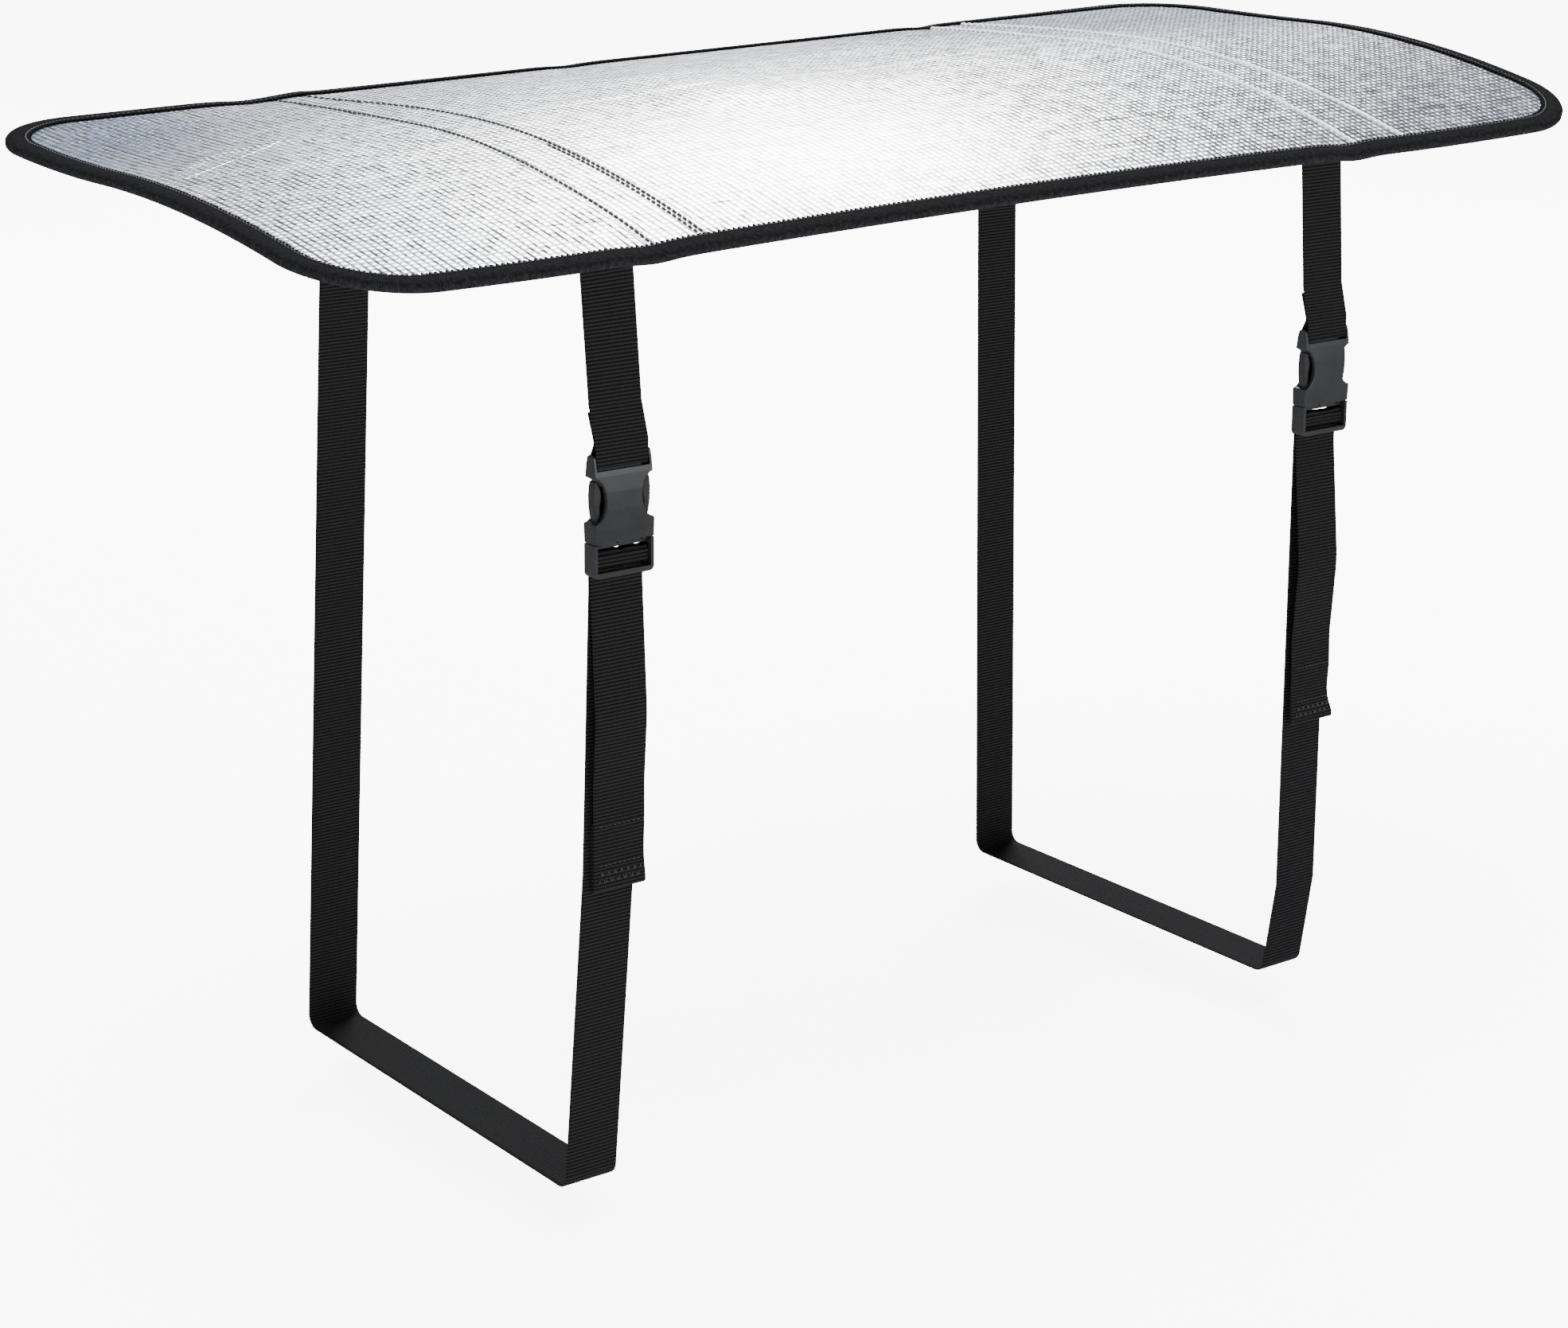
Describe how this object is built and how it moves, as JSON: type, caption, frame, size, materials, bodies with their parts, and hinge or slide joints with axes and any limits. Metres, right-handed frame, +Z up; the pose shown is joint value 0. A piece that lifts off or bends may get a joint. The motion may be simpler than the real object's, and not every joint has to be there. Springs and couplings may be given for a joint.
{
  "type": "air conditioner cover",
  "caption": "Arched foil sunshade sheet with a bound edge and two webbing straps with side-release buckles, for a box-shaped outdoor unit.",
  "frame": {"origin": "centre of the flat patch under the crown of the sheet, where the sheet rests on the top of what it covers", "axes": "+X along the sheet to the right, +Y from the buckled front to the back, +Z up"},
  "size_m": [0.9372, 0.4193, 0.6039],
  "materials": {
    "foil": "embossed satin metal",
    "binding": "matt woven",
    "webbing": "ribbed matt",
    "buckle_plastic": "satin"
  },
  "bodies": {
    "root": {"cover_sheet": "foil", "edge_binding": "binding", "strap_left": "webbing", "strap_right": "webbing", "socket_left": "buckle_plastic", "socket_right": "buckle_plastic", "plug_left": "buckle_plastic", "plug_right": "buckle_plastic"}
  },
  "joints": []
}
